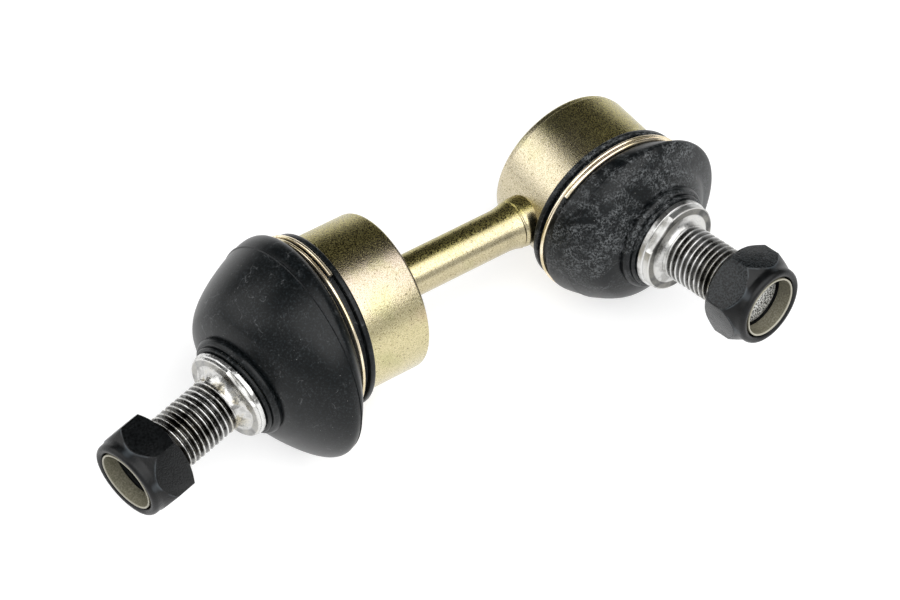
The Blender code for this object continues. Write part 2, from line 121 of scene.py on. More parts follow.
room_dark = (0.07, 0.07, 0.07, 1)
room_light = (0.72, 0.725, 0.73, 1)
world = bpy.data.worlds.new("room")
bpy.context.scene.world = world
world.use_nodes = True
tree = world.node_tree
tree.nodes.clear()
direction = node(tree, "ShaderNodeTexCoord").outputs["Generated"]
facing = node(tree, "ShaderNodeVectorMath", {0: direction, 1: (-0.3, -0.9, 0.3)},
              operation="DOT_PRODUCT").outputs["Value"]
room = mix(tree, ramp(tree, facing, -0.05, 0.8), room_dark, room_light)
background = node(tree, "ShaderNodeBackground", {"Color": room, "Strength": 1.0})
tree.links.new(background.outputs[0],
               node(tree, "ShaderNodeOutputWorld").inputs["Surface"])

# Floor
# A plain white sheet under the link. It shows white to the eye and in the metal, and keeps the
# link's soft shadow.
floor_size = 6.0
floor_glow = 0.62
bpy.ops.mesh.primitive_plane_add(size=floor_size, location=(0, 0, -0.0001))
floor = bpy.context.object
floor.name = "floor"
paper = bpy.data.materials.new("floor_paper")
paper.use_nodes = True
tree = paper.node_tree
tree.nodes.clear()
rays = node(tree, "ShaderNodeLightPath")
seen = math_node(tree, "MAXIMUM", rays.outputs["Is Camera Ray"], rays.outputs["Is Glossy Ray"])
seen = math_node(tree, "MAXIMUM", seen, rays.outputs["Is Transmission Ray"])
glow = math_node(tree, "MULTIPLY", seen, floor_glow)
sheet = node(tree, "ShaderNodeBsdfDiffuse", {"Color": (0.55, 0.55, 0.55, 1)})
lit = node(tree, "ShaderNodeEmission", {"Color": (1, 1, 1, 1), "Strength": glow})
both = node(tree, "ShaderNodeAddShader", {0: sheet.outputs[0], 1: lit.outputs[0]})
tree.links.new(both.outputs[0], node(tree, "ShaderNodeOutputMaterial").inputs["Surface"])
floor.data.materials.append(paper)


# Rod
# A drawn steel bar, zinc plated and passivated yellow. It is welded to the back of the axial
# housing and flares into a bead where it meets the wall of the radial one.
def turned(name, outline, matrix, steps=160, closed=False, flats=None, sharp=35):
    """Mesh turned about a frame's Z from (radius, height) points that run down its outside."""
    mesh = bpy.data.meshes.new(name)
    bm = bmesh.new()
    rings = []
    for point in outline:
        if point[0] < 1e-7:
            rings.append([bm.verts.new((0, 0, point[1]))] * steps)
            continue
        ring = []
        for step in range(steps):
            angle = 2 * math.pi * step / steps
            across = point[0] * math.cos(angle)
            if flats and len(point) > 2:
                across = min(max(across, -flats / 2), flats / 2)
            ring.append(bm.verts.new((across, point[0] * math.sin(angle), point[1])))
        rings.append(ring)
    pairs = list(zip(rings, rings[1:]))
    if closed:
        pairs.append((rings[-1], rings[0]))
    for upper, lower in pairs:
        for step in range(steps):
            after = (step + 1) % steps
            corners = [upper[step], lower[step], lower[after], upper[after]]
            corners = list(dict.fromkeys(corners))
            bm.faces.new(corners)
    bm.transform(matrix)
    bm.to_mesh(mesh)
    bm.free()
    mesh.shade_smooth()
    mesh.set_sharp_from_angle(angle=math.radians(sharp))
    made = bpy.data.objects.new(name, mesh)
    bpy.context.scene.collection.objects.link(made)
    return made


def rounded(corners, closed=False, steps=4):
    """Outline through (radius, height, rounding) corners, each one eased over its rounding."""
    points = []
    count = len(corners)
    for index, corner in enumerate(corners):
        here = Vector(corner[:2])
        ease = corner[2] if len(corner) > 2 else 0
        if not ease or (not closed and index in (0, count - 1)):
            points.append(tuple(here))
            continue
        before = Vector(corners[index - 1][:2])
        after = Vector(corners[(index + 1) % count][:2])
        start = here + (before - here).normalized() * min(ease, (before - here).length / 2.1)
        end = here + (after - here).normalized() * min(ease, (after - here).length / 2.1)
        for step in range(steps + 1):
            share = step / steps
            point = start.lerp(here, share).lerp(here.lerp(end, share), share)
            points.append(tuple(point))
    return points


def axes(centre, along, across):
    """Matrix of a frame with its Z along one direction and its Y along another."""
    z = Vector(along).normalized()
    x = Vector(across).cross(z).normalized()
    y = z.cross(x)
    return Matrix.Translation(centre) @ Matrix((x, y, z)).transposed().to_4x4()


def turn(degrees):
    """Rotation about Z."""
    return Matrix.Rotation(math.radians(degrees), 4, "Z")


def group(name, inputs):
    """A shader group with named inputs that gives out a colour, a roughness and a height."""
    made = bpy.data.node_groups.new(name, "ShaderNodeTree")
    for socket, value in inputs.items():
        kind = "NodeSocketFloat"
        if isinstance(value, tuple):
            kind = "NodeSocketColor" if len(value) == 4 else "NodeSocketVector"
        made.interface.new_socket(socket, in_out="INPUT", socket_type=kind)
        made.interface.items_tree[socket].default_value = value
    for socket, kind in (("Colour", "NodeSocketColor"), ("Roughness", "NodeSocketFloat"),
                         ("Height", "NodeSocketFloat")):
        made.interface.new_socket(socket, in_out="OUTPUT", socket_type=kind)
    return made, node(made, "NodeGroupInput").outputs, node(made, "NodeGroupOutput").inputs


def give_out(tree, result, colour, roughness, height):
    """Links what a group has worked out to its three outputs."""
    for socket, value in (("Colour", colour), ("Roughness", roughness), ("Height", height)):
        tree.links.new(value, result[socket])


def times(tree, first, *others):
    """The product of several values."""
    for other in others:
        first = math_node(tree, "MULTIPLY", first, other)
    return first


def noise(tree, vector, scale, detail=2.0, roughness=0.5, distortion=0.0):
    """Values that drift about one half, with a number of waves to the metre."""
    return node(tree, "ShaderNodeTexNoise", {
        "Vector": vector, "Scale": scale, "Detail": detail, "Roughness": roughness,
        "Distortion": distortion}).outputs["Fac"]


def net(tree, vector, scale, bend_scale, bend):
    """How far a place is from the lines of a wavering net, which scratches are cut from."""
    push = node(tree, "ShaderNodeTexNoise", {"Vector": vector, "Scale": bend_scale, "Detail": 2.0})
    bent = node(tree, "ShaderNodeVectorMath", {
        0: push.outputs["Color"], 1: (bend, bend, bend), 2: vector}, operation="MULTIPLY_ADD")
    return node(tree, "ShaderNodeTexVoronoi", {"Vector": bent.outputs[0], "Scale": scale},
                feature="DISTANCE_TO_EDGE").outputs["Distance"]


def material(name, **values):
    """A new material, its tree and its principled shader with some constants set."""
    made = bpy.data.materials.new(name)
    made.use_nodes = True
    shader = made.node_tree.nodes["Principled BSDF"]
    for socket, value in values.items():
        shader.inputs[socket.replace("_", " ")].default_value = value
    return made, made.node_tree, shader


def coat(tree, shader, effect, settings, depth, strength=1.0):
    """Gives a material one shared effect, with its height as a bump of some depth."""
    shell = node(tree, "ShaderNodeGroup", settings, node_tree=effect)
    bump = node(tree, "ShaderNodeBump", {
        "Height": shell.outputs["Height"], "Distance": depth, "Strength": strength})
    tree.links.new(shell.outputs["Colour"], shader.inputs["Base Color"])
    tree.links.new(shell.outputs["Roughness"], shader.inputs["Roughness"])
    tree.links.new(bump.outputs["Normal"], shader.inputs["Normal"])


joints = {joint["name"]: joint for joint in frame["joints"]}
housing_frame = {}
lean_frame = {}
for side in ("axial", "radial"):
    heading = joints[side + "_stud_heading"]
    across = joints[side + "_stud_tilt"]["axis"]
    stud_axis = joints[side + "_stud_spin"]["axis"]
    housing_frame[side] = axes(heading["pos_m"], heading["axis"], across)
    lean_frame[side] = axes(heading["pos_m"], stud_axis, across)

# The yellow passivated plating is shared by the rod, the housings and their cover plate. It
# drifts between straw, pink and green and carries fine grain, specks and pale scratches. Along
# one way it is painted a sparkling dark olive, as painted shade on the side turned away from the
# light, and the other way it may be painted a clearer yellow, as painted light from the floor.
plating, given, result = group("yellow_plating", {
    "Vector": (0, 0, 0), "Colour": (0.78, 0.7, 0.45, 1), "Roughness": 0.4, "Grain Size": 0.0002,
    "Specks": 0.5, "Scratches": 0.0, "Shade Way": (0, 0, 0), "Shade Start": 0.1,
    "Shade End": 0.2, "Painted Low Light": 0.0})
place = given["Vector"]
grain = noise(plating, place, math_node(plating, "DIVIDE", 1.0, given["Grain Size"]), 3.0, 0.6)
drift = noise(plating, place, 80.0, 3.0)
speck = noise(plating, place, 2300.0, 1.0)
fine = noise(plating, place, 3900.0, 1.0)
sparkle = ramp(plating, fine, 0.38, 0.6)
# How far a point lies along the way that the painted olive shade and painted yellow light follow.
level = node(plating, "ShaderNodeVectorMath", {0: place, 1: given["Shade Way"]},
             operation="DOT_PRODUCT").outputs["Value"]
span = math_node(plating, "SUBTRACT", given["Shade End"], given["Shade Start"])
stray = math_node(plating, "MULTIPLY_ADD", fine, 0.5, -0.25)
level = math_node(plating, "MULTIPLY_ADD", stray, span, level)
shade_olive = ramp(plating, level, given["Shade Start"], given["Shade End"], 0.0, 0.9)
below = math_node(plating, "SUBTRACT", given["Shade Start"], level)
# Painted light: short of the start the plating is painted a clearer yellow, for the floor's light
# in the metal.
low = times(plating, ramp(plating, below, 0.003, 0.011), given["Painted Low Light"])
pink = ramp(plating, drift, 0.56, 0.72, 0.0, 0.4)
green = ramp(plating, drift, 0.44, 0.3, 0.0, 0.4)
colour = mix(plating, low, given["Colour"], (0.65, 0.585, 0.35, 1))
colour = mix(plating, pink, colour, (0.6, 0.42, 0.34, 1))
colour = mix(plating, green, colour, (0.46, 0.46, 0.22, 1))
# Painted shade: the dark olive that stands for the side turned away from the light, with grain
# sparkle in it.
shade_olive_colour = mix(plating, sparkle, (0.17, 0.14, 0.03, 1), (0.62, 0.55, 0.19, 1))
colour = mix(plating, shade_olive, colour, shade_olive_colour)
dull = node(plating, "ShaderNodeMix", {0: 1.0, 6: colour, 7: (0.68, 0.66, 0.55, 1)},
            data_type="RGBA", blend_type="MULTIPLY").outputs[2]
colour = mix(plating, ramp(plating, grain, 0.36, 0.56), dull, colour)
scratch = times(plating, ramp(plating, net(plating, place, 45.0, 60.0, 0.003), 0.007, 0.003),
                ramp(plating, drift, 0.51, 0.56), ramp(plating, fine, 0.4, 0.5),
                given["Scratches"])
colour = mix(plating, scratch, colour, (0.9, 0.85, 0.6, 1))
speck_share = times(plating, ramp(plating, speck, 0.64, 0.7), given["Specks"])
colour = mix(plating, speck_share, colour, (0.2, 0.16, 0.08, 1))
roughness = math_node(plating, "MULTIPLY_ADD", drift, 0.12,
                      math_node(plating, "SUBTRACT", given["Roughness"], 0.06))
roughness = math_node(plating, "MULTIPLY_ADD", times(plating, shade_olive, sparkle), 0.18, roughness)
give_out(plating, result, colour, roughness, grain)


def local_coords(tree, matrix):
    """Object coordinates seen from a frame that stands still in the object."""
    coords = node(tree, "ShaderNodeTexCoord")
    return node(tree, "ShaderNodeMapping", {
        "Vector": coords.outputs["Object"], "Location": matrix.translation,
        "Rotation": matrix.to_euler()}, vector_type="TEXTURE").outputs[0]


def plated(name, colour, roughness, grain_size, specks, depth, place, shade_olive=None, metal=1.0,
           scratches=0.0, painted_low_light=0.0):
    """Yellow plated metal in one frame. It is painted dark olive along a way, from one depth to
    another, as painted shade, and may be painted a clearer yellow short of that, as painted light.
    """
    made, tree, shader = material(name, Metallic=metal)
    settings = {"Vector": local_coords(tree, place), "Colour": (*colour, 1),
                "Roughness": roughness, "Grain Size": grain_size, "Specks": specks,
                "Scratches": scratches, "Painted Low Light": painted_low_light}
    if shade_olive:
        settings["Shade Way"], settings["Shade Start"], settings["Shade End"] = shade_olive
    coat(tree, shader, plating, settings, depth)
    return made


ball_spacing = 0.0679
housing_radius = 0.0166
housing_back = 0.0162
rod_radius = 0.0045
bead_radius = 0.0052
bead_length = 0.0026
flare_length = 0.0036
flare_bend = 2.2
weld_sink = 0.0009
bar_start = housing_back - 0.0001
bar_end = ball_spacing - housing_radius + weld_sink
bead_start = bar_end - weld_sink - bead_length
rod_line = [
    (0, bar_end),
    (bead_radius, bar_end),
    (bead_radius, bead_start + 0.0006, 0.0007),
    (bead_radius - 0.0005, bead_start, 0.0003),
    (bead_radius - 0.0001, bead_start - 0.0002, 0.0002),
]
for step in range(1, 9):
    share = step / 8
    rod_line.append((
        rod_radius + (bead_radius - 0.0002 - rod_radius) * (1 - share) ** flare_bend,
        bead_start - 0.0004 - flare_length * share))
rod_line += [
    (rod_radius, bar_start + 0.0007, 0.0002),
    (rod_radius - 0.0003, bar_start + 0.0003, 0.0001),
    (rod_radius + 0.0001, bar_start, 0.0001),
    (0, bar_start),
]
rod_axis = -(housing_frame["axial"].to_3x3() @ Vector((0, 0, 1)))
rod_frame = axes(housing_frame["axial"].translation, rod_axis, (0, 0, 1))
rod = turned("rod", rounded(rod_line), rod_frame, 96)
# Its top is painted dark olive along the given way, as painted shade on the side turned away from
# the light.
rod.data.materials.append(plated("rod_zinc", (0.56, 0.495, 0.33), 0.22, 0.0002, 0.6, 0.00002,
                                 rod_frame, ((0.7, 0.7, 0), 0.0014, 0.0031)))
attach(rod, "link")
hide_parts("link_rod")

# Housings
# Each is turned from steel bar and barrel finished, then plated yellow. The axial one is a cup
# with a solid back, and the radial one is a sleeve whose back rim is rolled over a cover plate.
boot_step_radius = 0.0156
cavity_radius = 0.0106
cavity_bottom = -0.0087
mouth_bottom = 0.0049
mouth_radius = 0.0086
mouth_slope = math.tan(math.radians(22))
cover_radius = 0.0128
cover_bottom = -0.0099
rim_inside = 0.0116
radial_back = 0.011
lip_height = {"axial": -0.0021, "radial": 0.0041}
front_height = {"axial": 0.0064, "radial": 0.0096}
straw = {"axial": (0.525, 0.447, 0.365), "radial": (0.63, 0.562, 0.415)}
# The axial housing is painted a clearer yellow low down, as painted light from the floor, and both
# housings are painted dark olive along the way given below, as painted shade on the side turned
# away from the light.
painted_low_light = {"axial": 0.9, "radial": 0.0}
painted_shade_way = {"axial": ((-1, 0, 0), 0.004, 0.0105), "radial": ((0.83, 0.55, 0), 0.006, 0.0165)}
for side in ("axial", "radial"):
    front = front_height[side]
    shoulder = lip_height[side] - 0.0003
    back = housing_back if side == "axial" else radial_back
    corners = [
        (cavity_radius, mouth_bottom, 0),
        (mouth_radius, mouth_bottom, 0.0002),
        (mouth_radius + (front - mouth_bottom) * mouth_slope, front, 0.0003),
        (boot_step_radius, front, 0.0006),
        (boot_step_radius, shoulder, 0.0001),
        (housing_radius, shoulder, 0.0003),
    ]
    if side == "axial":
        corners += [(housing_radius, -back, 0.0007)]
        corners = [(0, cavity_bottom), (cavity_radius, cavity_bottom, 0.0002)] + corners
        outline = rounded(corners + [(0, -back)])
    else:
        corners += [
            (housing_radius, 0.0015 - back, 0.0001),
            (housing_radius - 0.00012, 0.0014 - back, 0.0001),
            (housing_radius - 0.0003, -back, 0.0009),
            (rim_inside + 0.0006, -back, 0.0004),
            (rim_inside, -back + 0.0006, 0.0003),
            (rim_inside, cover_bottom - 0.0002, 0.0001),
            (cover_radius + 0.0003, cover_bottom - 0.0002, 0.0001),
            (cover_radius + 0.0003, cavity_bottom + 0.0002, 0.0001),
            (cavity_radius, cavity_bottom + 0.0002, 0.0001),
        ]
        outline = rounded(corners, closed=True)
    housing = turned(side + "_housing_shell", outline, housing_frame[side],
                     closed=side == "radial")
    housing.data.materials.append(plated(
        side + "_housing_zinc", straw[side], 0.2, 0.0002, 0.7, 0.00004,
        housing_frame[side], painted_shade_way[side], scratches=0.35, painted_low_light=painted_low_light[side]))
    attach(housing, "link")
    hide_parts(side + "_housing")

# Cover plate
# A pressed steel disc, slightly dished, that closes the radial housing from behind. The
# housing's rim is rolled over its edge, and both are plated yellow.
cover_outline = rounded([
    (0, cavity_bottom), (cover_radius, cavity_bottom, 0.0002),
    (cover_radius, cover_bottom, 0.0003), (cover_radius - 0.0026, cover_bottom, 0.0005),
    (cover_radius - 0.0036, cover_bottom + 0.0004, 0.0005), (0, cover_bottom + 0.0004)])
cover = turned("cover_plate", cover_outline, housing_frame["radial"])
cover.data.materials.append(plated("cover_zinc", (0.56, 0.5, 0.33), 0.3, 0.0003, 0.4, 0.000012,
                                   housing_frame["radial"]))
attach(cover, "link")
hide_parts("radial_cover_plate")

# Ball seats
# White acetal cups, moulded and greased, that hold the balls inside the housings. They are
# hidden there, so the frame's own plain solids stand for them and only take this material.
acetal, tree, shader = material("acetal", Roughness=0.45)
cloud = noise(tree, node(tree, "ShaderNodeTexCoord").outputs["Object"], 400.0)
tree.links.new(mix(tree, ramp(tree, cloud, 0.4, 0.7), (0.82, 0.81, 0.76, 1),
                   (0.66, 0.6, 0.45, 1)), shader.inputs["Base Color"])
for side in ("axial", "radial"):
    seat = frame["nodes"][side + "_ball_seat"]
    seat.data.materials.clear()
    seat.data.materials.append(acetal)

# Ball studs
# Forged and turned in one piece: ball, neck, boot seat, flange, collar with two wrench flats,
# concave shoulder and rolled thread. Bright zinc, with painted shade in the thread's roots and
# brown stains round its foot.
ball_radius = 0.0075
neck_radius = 0.0042
neck_flare = 0.003
boot_seat_radius = 0.007
boot_seat_length = 0.0052
flange_radius = 0.0096
collar_radius = 0.0093
wrench_flats = 0.0166
shoulder_radius = 0.0076
thread_radius = 0.00595
root_radius = 0.00518
core_radius = root_radius - 0.0002
thread_pitch = 0.00125
stud_reach = 0.045
end_radius = 0.0053
stud_turn = {"axial": 90.0, "radial": 104.0}
flange_height = {"axial": 0.0226, "radial": 0.0214}
flange_top = {"axial": 0.0235, "radial": 0.0226}
collar_top = {"axial": 0.0243, "radial": 0.0242}
shoulder_top = {"axial": 0.0268, "radial": 0.0256}
# How dark each stud's thread roots and collar ledge are painted, as painted shade.
root_shade_level = {"axial": 1.0, "radial": 0.94}
ledge_shade = {"axial": 0.4, "radial": 0.9}
foot_stain = {"axial": 0.8, "radial": 0.2}
zinc_roughness = {"axial": 0.12, "radial": 0.24}
dent_strength = {"axial": 1.0, "radial": 0.35}


def new_tool(name):
    """An empty Geometry Nodes tree that gives out a mesh."""
    tool = bpy.data.node_groups.new(name, "GeometryNodeTree")
    tool.interface.new_socket("Geometry", in_out="OUTPUT", socket_type="NodeSocketGeometry")
    return tool


def number_in(tool, name, value):
    """Adds one named number to a tree's inputs."""
    kind = "NodeSocketInt" if isinstance(value, int) else "NodeSocketFloat"
    tool.interface.new_socket(name, in_out="INPUT", socket_type=kind)
    tool.interface.items_tree[name].default_value = value


def grown(name, tool, values, matrix):
    """The plain mesh that a Geometry Nodes tree makes, moved into a frame."""
    maker = bpy.data.objects.new(name + "_maker", bpy.data.meshes.new(name + "_maker"))
    bpy.context.scene.collection.objects.link(maker)
    modifier = maker.modifiers.new("grow", "NODES")
    modifier.node_group = tool
    for socket in tool.interface.items_tree:
        if socket.in_out == "INPUT" and socket.name in values:
            modifier[socket.identifier] = values[socket.name]
    bpy.context.view_layer.update()
    graph = bpy.context.evaluated_depsgraph_get()
    mesh = bpy.data.meshes.new_from_object(maker.evaluated_get(graph))
    mesh.name = name
    bpy.data.objects.remove(maker)
    mesh.transform(matrix)
    made = bpy.data.objects.new(name, mesh)
    bpy.context.scene.collection.objects.link(made)
    return made


# The thread tree winds one strip, as wide as the pitch, up the stud. Each row of the strip
# crosses a root and a crest, and the rows past the end fall on to the chamfer.
thread_tool = new_tool("helical_thread")
for label, value in (("Pitch", thread_pitch), ("Crest Radius", thread_radius),
                     ("Root Radius", root_radius), ("Start", 0.024), ("End", stud_reach),
                     ("Tip Radius", end_radius + 0.0001), ("Turns", 18), ("Steps", 80)):
    number_in(thread_tool, label, value)
given = node(thread_tool, "NodeGroupInput")
rows = math_node(thread_tool, "MULTIPLY_ADD", given.outputs["Turns"], given.outputs["Steps"], 1.0)
strip = node(thread_tool, "GeometryNodeMeshGrid", {
    "Size X": 1.0, "Size Y": 1.0, "Vertices X": rows, "Vertices Y": 13})
spot = node(thread_tool, "ShaderNodeSeparateXYZ",
            {0: node(thread_tool, "GeometryNodeInputPosition").outputs[0]})
along = math_node(thread_tool, "ADD", spot.outputs["X"], 0.5)
across = math_node(thread_tool, "ADD", spot.outputs["Y"], 0.5)
turns_done = math_node(thread_tool, "MULTIPLY", along, given.outputs["Turns"])
angle = math_node(thread_tool, "MULTIPLY", turns_done, 2 * math.pi)
climb = math_node(thread_tool, "ADD", turns_done, across)
foot = math_node(thread_tool, "SUBTRACT", given.outputs["Start"], given.outputs["Pitch"])
height = math_node(thread_tool, "MULTIPLY_ADD", climb, given.outputs["Pitch"], foot)
wave = math_node(thread_tool, "ABSOLUTE",
                 math_node(thread_tool, "MULTIPLY_ADD", across, 2.0, -1.0))
crest = node(thread_tool, "ShaderNodeMapRange", {
    "Value": wave, "From Min": 0.9, "From Max": 0.1, "To Min": 0.0, "To Max": 1.0})
slope = node(thread_tool, "ShaderNodeMapRange", {
    "Value": crest.outputs[0], "To Min": given.outputs["Root Radius"],
    "To Max": given.outputs["Crest Radius"]}).outputs[0]
room_left = math_node(thread_tool, "SUBTRACT", given.outputs["End"], height)
cone = math_node(thread_tool, "ADD", math_node(thread_tool, "MAXIMUM", room_left, 0.0),
                 given.outputs["Tip Radius"])
radius = math_node(thread_tool, "MINIMUM", slope, cone)
height = math_node(thread_tool, "MINIMUM", height, given.outputs["End"])
height = math_node(thread_tool, "MAXIMUM", height, given.outputs["Start"])
east = math_node(thread_tool, "MULTIPLY", radius, math_node(thread_tool, "COSINE", angle))
north = math_node(thread_tool, "MULTIPLY", radius, math_node(thread_tool, "SINE", angle))
wound = node(thread_tool, "ShaderNodeCombineXYZ", {0: east, 1: north, 2: height})
placed = node(thread_tool, "GeometryNodeSetPosition",
              {"Geometry": strip.outputs["Mesh"], "Position": wound.outputs[0]})
joined = node(thread_tool, "GeometryNodeMergeByDistance",
              {"Geometry": placed.outputs[0], "Distance": 0.000005})
smooth = node(thread_tool, "GeometryNodeSetShadeSmooth", {"Geometry": joined.outputs[0]})
plain = node(thread_tool, "GeometryNodeRealizeInstances", {"Geometry": smooth.outputs[0]})
finish = node(thread_tool, "GeometryNodeSetMaterial", {"Geometry": plain.outputs[0]})
node(thread_tool, "NodeGroupOutput", {0: finish.outputs[0]})

# Wear, dirt and painted shade on bright zinc, told by how far a point is from the stud's axis and
# up it.
# The thread's roots and the ledge under the collar are painted dark as painted shade; the stains,
# grit and patches are the zinc's own. The sawn end is bare and sparkling.
bright, given, result = group("bright_zinc", {
    "Vector": (0, 0, 0), "Stain Height": 0.026, "Thread Start": 0.026, "Collar Height": 0.0243,
    "Root Shade": 0.9, "Ledge Shade": 0.7, "Stain": 0.8, "Roughness": 0.12})
place = given["Vector"]
spot = node(bright, "ShaderNodeSeparateXYZ", {0: place}).outputs
height = spot["Z"]
flat_spot = node(bright, "ShaderNodeCombineXYZ", {0: spot["X"], 1: spot["Y"]})
reach = node(bright, "ShaderNodeVectorMath", {0: flat_spot.outputs[0]}, operation="LENGTH")
reach = reach.outputs["Value"]
rings = node(bright, "ShaderNodeCombineXYZ", {0: reach, 1: height}).outputs[0]
tool_marks = noise(bright, rings, 9000.0)
dents = noise(bright, place, 420.0, 1.6)
grit = noise(bright, place, 2600.0, 4.0, 0.65)
sawn = noise(bright, place, 2600.0, 1.0)
patches = noise(bright, place, 260.0, 3.0)
from_foot = math_node(bright, "ABSOLUTE", math_node(
    bright, "SUBTRACT", height, given["Stain Height"]))
stain = times(bright, ramp(bright, from_foot, 0.003, 0.0004), ramp(bright, patches, 0.46, 0.56),
              given["Stain"])
in_thread = times(
    bright, ramp(bright, height, given["Thread Start"],
                 math_node(bright, "ADD", given["Thread Start"], 0.0004)),
    ramp(bright, height, stud_reach - 0.0004, stud_reach - 0.0007))
# Painted shade: the thread's roots are painted near black, so that only the crests stay bright.
deep = times(bright, ramp(bright, reach, thread_radius - 0.00004, thread_radius - 0.00029),
             in_thread)
root_shade_share = ramp(bright, math_node(bright, "ADD", grit, patches), 0.8, 1.08, 1.0, 0.8)
root_shade_share = times(bright, root_shade_share, given["Root Shade"])
from_collar = math_node(bright, "ABSOLUTE", math_node(
    bright, "SUBTRACT", height, given["Collar Height"]))
ledge = times(bright, ramp(bright, reach, shoulder_radius - 0.0001, shoulder_radius + 0.0002),
              ramp(bright, reach, collar_radius - 0.0002, collar_radius - 0.0004),
              ramp(bright, from_collar, 0.0004, 0.0001))
ledge_share = times(bright, ledge, ramp(bright, patches, 0.6, 0.4, 0.75, 1.0),
                    given["Ledge Shade"])
low_dirt = times(bright, ramp(bright, height, 0.03, 0.037), ramp(bright, grit, 0.5, 0.58),
                 in_thread, 0.6)
at_end = times(bright, ramp(bright, height, stud_reach - 0.0002, stud_reach - 0.00005),
               ramp(bright, reach, end_radius + 0.0001, end_radius - 0.0001))
colour = mix(bright, ramp(bright, patches, 0.38, 0.56), (0.4, 0.395, 0.38, 1),
             (0.72, 0.72, 0.71, 1))
colour = mix(bright, ramp(bright, grit, 0.36, 0.3, 0.0, 0.8), colour, (0.12, 0.11, 0.1, 1))
colour = mix(bright, ledge_share, colour, (0.07, 0.07, 0.066, 1))
colour = mix(bright, low_dirt, colour, (0.2, 0.17, 0.09, 1))
stain_colour = mix(bright, ramp(bright, grit, 0.42, 0.56), (0.07, 0.055, 0.025, 1),
                   (0.4, 0.35, 0.22, 1))
colour = mix(bright, stain, colour, stain_colour)
# The painted shade in the roots, its strength varied by the grit and patches.
colour = mix(bright, times(bright, deep, root_shade_share), colour, (0.012, 0.011, 0.008, 1))
sawn_colour = mix(bright, ramp(bright, sawn, 0.42, 0.56), (0.08, 0.08, 0.075, 1),
                  (0.95, 0.95, 0.93, 1))
colour = mix(bright, at_end, colour, sawn_colour)
wear = math_node(bright, "MULTIPLY_ADD", grit, 0.5, times(bright, patches, 0.5))
roughness = math_node(bright, "ADD", ramp(bright, wear, 0.35, 0.65, 0.0, 0.2),
                      given["Roughness"])
roughness = math_node(bright, "MULTIPLY_ADD", ledge, 0.2, roughness)
roughness = math_node(bright, "MULTIPLY_ADD", at_end, 0.2, roughness)
relief = math_node(bright, "MULTIPLY_ADD", tool_marks, 0.03, dents)
relief = math_node(bright, "MULTIPLY_ADD", grit, 0.04, relief)
give_out(bright, result, colour, roughness, relief)


for side in ("axial", "radial"):
    spin = lean_frame[side] @ turn(stud_turn[side])
    seat_bottom = flange_height[side] - boot_seat_length
    neck_angle = math.asin(neck_radius / ball_radius)
    outline = rounded([
        (0, stud_reach),
        (end_radius, stud_reach, 0.0003),
        (end_radius, stud_reach - 0.0006, 0.0001),
        (core_radius, stud_reach - 0.0008),
        (core_radius, shoulder_top[side] - 0.0009),
    ])
    foot = collar_top[side]
    for step in range(9):
        share = step / 8
        outline.append((thread_radius - 0.0003 + (shoulder_radius + 0.0003 - thread_radius)
                        * (1 - math.cos(share * math.pi / 2)),
                        shoulder_top[side] + (foot - shoulder_top[side])
                        * math.sin(share * math.pi / 2)))
    collar = rounded([(shoulder_radius, foot, 0), (collar_radius, foot, 0.00025),
                      (collar_radius, flange_top[side] + 0.00015, 0)], steps=7)
    outline += [(*point, True) for point in collar[1:]]
    outline += rounded([
        (collar_radius - 0.0001, flange_top[side] + 0.00015, 0),
        (flange_radius, flange_top[side] + 0.00005, 0.0002),
        (flange_radius, flange_height[side], 0.0002),
        (boot_seat_radius, flange_height[side], 0.0001),
        (boot_seat_radius, seat_bottom, 0),
    ], steps=6)
    for step in range(1, 7):
        share = step / 6 * math.pi / 2
        outline.append((boot_seat_radius + (neck_radius - boot_seat_radius) * math.sin(share),
                        seat_bottom - neck_flare * (1 - math.cos(share))))
    for step in range(33):
        angle = neck_angle + (math.pi - neck_angle) * step / 32
        outline.append((ball_radius * math.sin(angle) * (step < 32),
                        ball_radius * math.cos(angle)))
    stud = turned(side + "_stud_body", outline, spin, 256, flats=wrench_flats, sharp=20)
    stud_zinc, tree, shader = material(side + "_stud_zinc", Metallic=1.0)
    coat(tree, shader, bright, {
        "Vector": local_coords(tree, spin), "Stain Height": shoulder_top[side] - 0.0004,
        "Thread Start": shoulder_top[side] - 0.0002, "Collar Height": collar_top[side],
        "Root Shade": root_shade_level[side], "Ledge Shade": ledge_shade[side],
        "Stain": foot_stain[side], "Roughness": zinc_roughness[side],
    }, 0.0004, dent_strength[side])
    stud.data.materials.append(stud_zinc)
    finish.inputs["Material"].default_value = stud_zinc
    thread = grown(side + "_stud_thread", thread_tool, {
        "Start": shoulder_top[side] - 0.0006, "Turns": 17}, spin)
    for piece in (stud, thread):
        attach(piece, side + "_stud")
    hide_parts(side + "_ball_stud")

# Boots
# Moulded rubber with a thick lip gripped in a step of the housing, a coil groove, a round dome
# and a neck that grips the stud. Satin black with grey dust, and leant over with the stud.
boot_wall = 0.0016
boot_bore = 0.0159
lip_radius = 0.0183
lip_width = 0.0013
coil_groove_radius = 0.0171
coil_groove_width = 0.00326
boot_neck_radius = 0.0101
neck_bore = 0.0073
ring_space = 0.001
groove_mouth = boot_neck_radius - 0.00015
groove_floor = groove_mouth - ring_space
fold_radius = 0.011
dome_tilt = {"axial": 12.8, "radial": 9.0}
bulge_radius = {"axial": 0.0223, "radial": 0.0189}
bulge_height = {"axial": 0.0075, "radial": 0.0116}
dome_shift = {"axial": 0.0027, "radial": 0.0019}
dome_rise = {"axial": -0.0009, "radial": 0.0007}
dome_flatness = {"axial": (1.4, 1.0), "radial": (1.35, 1.35)}
seam_height = {"axial": 0.0002, "radial": 0.00006}
dust_share = {"axial": 0.06, "radial": 0.7}
scuff_share = {"axial": 0.7, "radial": 0.4}


